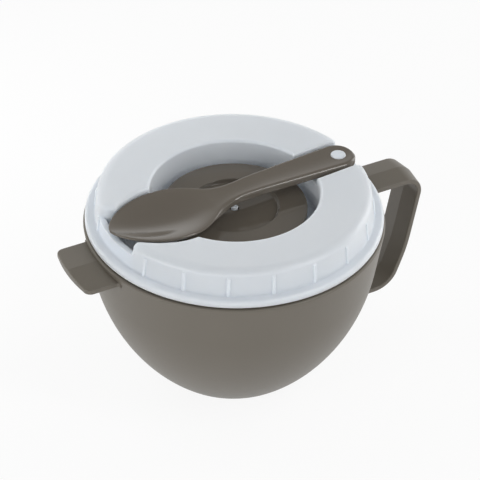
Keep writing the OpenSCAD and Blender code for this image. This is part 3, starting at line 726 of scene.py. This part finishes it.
# Vent dial. A round taupe disc with a shallow recess in its top and a skirt over the lid's pedestal.
# It snaps over the lid's split pin and turns on it, to bring its window over the lid's steam slot.
dial_r, dial_top_z, recess_r, recess_z, dial_in = 36.2, 93.8, 22.3, 92.0, 33.6
dial_foot_z, dial_round, pin_bore, vent_shut_a = 88.1, 0.8, 2.25, 170
foot_edge, recess_edge, recess_slope, recess_foot, bore_edge = 0.3, 0.4, 0.9, 0.5, 0.3
dial_steps, dial_sharp = 8, 30
dial_taupe = plastic("dial_taupe", (0.136, 0.119, 0.097), 0.05, 0.05, 0.03, 1200, 0.04, IOR=plastic_ior)
dial_outline = rounded([
    (pin_bore, dial_z, 0), (dial_in, dial_z, 0), (dial_in, dial_foot_z, foot_edge),
    (dial_r, dial_foot_z, foot_edge), (dial_r, dial_top_z, dial_round), (recess_r, dial_top_z, recess_edge),
    (recess_r - recess_slope, recess_z, recess_foot), (pin_bore, recess_z, bore_edge)], dial_steps)
dial = turned("dial_disc", dial_outline + dial_outline[:1], dial_taupe)
worked(dial, sector("vent_window", vent_shut_a, dial_z - over, dial_top_z + over), "DIFFERENCE")
moved(dial, turn=lid_turn)
dressed(dial, dial_taupe, dial_sharp)
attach(dial, "vent_dial")
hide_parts("vent_dial")

# Spoon. A glossy taupe soup spoon with an egg-shaped bowl and a flat, slightly hollow handle. It lies
# in the lid's channel with the hole in its round end pressed over the lid's peg.
bowl_d, bowl_t, stem_t, stem_dish, stem_fall, tip_rise = 4.2, 1.6, 4.4, 0.8, 3.1, 1.7
fall_shares = (0.38, 0.73)
stem_round, rim_round_top, rim_round_low, hole_r = 2.0, 0.55, 0.9, 3.85
spoon_steps, across_steps, slope_step, least_side, spoon_sharp = 150, 36, 0.02, 0.1, 35


def bowl_share(x):
    """Depth of the spoon's bowl along its length, as a share of its greatest depth."""
    fall = 1 - egg_share(x) ** 2
    return fall if x < wide_x else fall ** 2


def spoon_line(x):
    """Height of the spoon's edge, hollow, thickness, depth below, upper rounding and share of bowl."""
    s = (spoon_end - x) / spoon_l
    fall = ease((s - fall_shares[0]) / (fall_shares[1] - fall_shares[0]))
    tip = max(0, (s - fall_shares[1]) / (1 - fall_shares[1]))
    depth = bowl_d * bowl_share(x)
    hollow = max(depth, stem_dish * ease(2 * (1 - egg_share(x)) + (x > wide_x)))
    in_bowl = ease(2 * bowl_share(x) + (x < wide_x))
    thick = stem_t + (bowl_t - stem_t) * in_bowl
    top_round = stem_round + (rim_round_top - stem_round) * in_bowl
    return ring_z - stem_fall * fall + tip_rise * tip ** 2, hollow, thick, depth, top_round, in_bowl


def edge_drop(inside, r):
    """Fall of a rounded edge at a distance inside the outline."""
    return r - math.sqrt(r ** 2 - (r - inside) ** 2) if inside < r else 0.0


spoon_loops = []
for i in range(1, spoon_steps):
    x = spoon_end - spoon_l * (1 - math.cos(math.pi * i / spoon_steps)) / 2
    half = spoon_half(x)
    ahead, back = spoon_half(min(spoon_end, x + slope_step)), spoon_half(max(tip_x, x - slope_step))
    slope = (ahead - back) / (2 * slope_step)
    edge, hollow, thick, depth, top_round, in_bowl = spoon_line(x)
    low_round = min(rim_round_low, thick - top_round - least_side)
    shares = [math.sin(math.pi * (k / across_steps - 0.5)) for k in range(across_steps + 1)]
    top, low = [], []
    for v in shares:
        inside = half * (1 - abs(v)) / math.hypot(1, slope)
        bend = (1 - v * v) ** (1 + in_bowl)
        top.append((x, v * half, edge - hollow * bend - edge_drop(inside, top_round)))
        low.append((x, v * half, edge - thick - depth * bend + edge_drop(inside, low_round)))
    spoon_loops.append(top + low[::-1])
spoon_taupe = plastic("spoon_taupe", (0.138, 0.120, 0.098), 0.04, 0.07, 0.03, 1000, 0.04, IOR=plastic_ior)
spoon = stacked("spoon_body", spoon_loops)
worked(spoon, moved(turned("peg_hole", rounded([
    (0, stem_z - over, 0), (hole_r, stem_z - over, 0), (hole_r, ring_z - stem_dish, 0),
    (hole_r + 2 * over, ring_z - stem_dish + 2 * over, 0), (0, ring_z - stem_dish + 2 * over, 0)]),
    spoon_taupe, peg_turn), peg_x), "DIFFERENCE")
moved(spoon, turn=lid_turn)
dressed(spoon, spoon_taupe, spoon_sharp)
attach(spoon, "spoon")
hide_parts("spoon")

# Studio. A plain white floor and backdrop, a soft box in front and on each side, a narrow strip above
# the right front and a small lamp behind, with a long lens that looks down on the mug's front left.
room_half, floor_white, floor_rough, floor_glow = 4.0, (0.9, 0.9, 0.9, 1), 0.9, 0.9
wall_low, wall_high, wall_bright, ceiling_dim = 0.25, 0.65, 0.7, 0.27
behind, behind_bright, before_dim = (0.477, 0.879, 0), 1.4, 0.6


def seen_share(tree, *rays):
    """1 where the camera sees a surface by one of these rays, 0 for the light it gives."""
    path_kind = add(tree, "ShaderNodeLightPath")
    share = path_kind.outputs["Is Camera Ray"]
    for ray in rays:
        share = add(tree, "ShaderNodeMath", {0: share, 1: path_kind.outputs[ray]}, operation="ADD",
                    use_clamp=True).outputs[0]
    return share


floor_mesh = bpy.data.meshes.new("floor")
floor_mesh.from_pydata([(x * room_half, y * room_half, 0) for x, y in ((-1, -1), (1, -1), (1, 1), (-1, 1))],
                       [], [(0, 1, 2, 3)])
floor = shown("floor", floor_mesh)
white_floor = bpy.data.materials.new("white_floor")
white_floor.use_nodes = True
tree = white_floor.node_tree
matt = tree.nodes["Principled BSDF"]
matt.inputs["Base Color"].default_value, matt.inputs["Roughness"].default_value = floor_white, floor_rough
glow = add(tree, "ShaderNodeEmission")
share = add(tree, "ShaderNodeMath", {0: seen_share(tree, "Is Glossy Ray", "Is Transmission Ray"),
                                     1: floor_glow}, operation="MULTIPLY").outputs[0]
mix = add(tree, "ShaderNodeMixShader", {0: share, 1: matt.outputs[0], 2: glow.outputs[0]})
tree.links.new(mix.outputs[0], tree.nodes["Material Output"].inputs[0])
floor.data.materials.append(white_floor)

studio = bpy.data.worlds.new("studio")
bpy.context.scene.world = studio
studio.use_nodes = True
tree = studio.node_tree
backdrop = tree.nodes["Background"]
backdrop.inputs["Color"].default_value = (1, 1, 1, 1)
way = add(tree, "ShaderNodeTexCoord").outputs["Generated"]
height = add(tree, "ShaderNodeSeparateXYZ", {0: way}).outputs["Z"]
wall_light = add(tree, "ShaderNodeMapRange", {
    "Value": height, "From Min": wall_low, "From Max": wall_high,
    "To Min": wall_bright, "To Max": ceiling_dim}, interpolation_type="SMOOTHSTEP")
depth = add(tree, "ShaderNodeVectorMath", {0: way, 1: behind}, operation="DOT_PRODUCT").outputs["Value"]
depth_light = add(tree, "ShaderNodeMapRange", {
    "Value": depth, "From Min": -1.0, "From Max": 1.0, "To Min": before_dim, "To Max": behind_bright})
strength = add(tree, "ShaderNodeMath", {0: wall_light.outputs[0], 1: depth_light.outputs[0]},
               operation="MULTIPLY").outputs[0]
tree.links.new(strength, backdrop.inputs["Strength"])


def softbox(name, place, size, watts, mirrored=True):
    """A rectangular lamp that faces the lid's middle, and that glossy pieces may or may not mirror."""
    light = bpy.data.lights.new(name, "AREA")
    light.shape, light.size, light.size_y, light.energy = "RECTANGLE", size[0], size[1], watts
    lamp = bpy.data.objects.new(name, light)
    bpy.context.scene.collection.objects.link(lamp)
    lamp.location, lamp.visible_glossy = place, mirrored
    lamp.rotation_euler = (Vector((0, 0, edge_z * mm)) - Vector(place)).to_track_quat("-Z", "Y").to_euler()


softbox("key_strip", (0.46, -0.71, 0.88), (0.15, 1.0), 3.8)
softbox("front_box", (-0.45, -0.85, 0.42), (0.9, 0.5), 1.7)
softbox("left_box", (-1.0, -0.25, 0.35), (0.5, 0.8), 2.6)
softbox("right_box", (1.0, 0.1, 0.4), (0.5, 0.8), 3)
softbox("near_box", (-0.14, 0.3, 0.24), (0.3, 0.2), 0.5, mirrored=False)

azimuth, elevation, roll = math.radians(-28.5), math.radians(36.48), math.radians(0.92)
eye_reach, focal_px, image_px = 1.0, 2018.0, 480.0
aim_right_px, aim_down_px, near_cut, far_cut = 5.6, 25.8, 0.05, 20
back_way = Vector((math.sin(azimuth) * math.cos(elevation), -math.cos(azimuth) * math.cos(elevation),
                   math.sin(elevation)))
level = Vector((math.cos(azimuth), math.sin(azimuth), 0))
rise = back_way.cross(level)
right = level * math.cos(roll) + rise * math.sin(roll)
up = rise * math.cos(roll) - level * math.sin(roll)
target = Vector((0, 0, edge_z * mm))
eye = target + back_way * eye_reach
aim = target + (right * aim_right_px - up * aim_down_px) * (eye_reach / focal_px)
view_back = (eye - aim).normalized()
view_right = up.cross(view_back).normalized()
turn = Matrix((view_right, view_back.cross(view_right), view_back)).transposed()
lens = bpy.data.cameras.new("camera")
camera = bpy.data.objects.new("camera", lens)
bpy.context.scene.collection.objects.link(camera)
bpy.context.scene.camera = camera
camera.matrix_world = Matrix.Translation(eye) @ turn.to_4x4()
lens.lens = focal_px / image_px * lens.sensor_width
lens.clip_start, lens.clip_end = near_cut, far_cut
bpy.context.scene.view_settings.view_transform = "Standard"
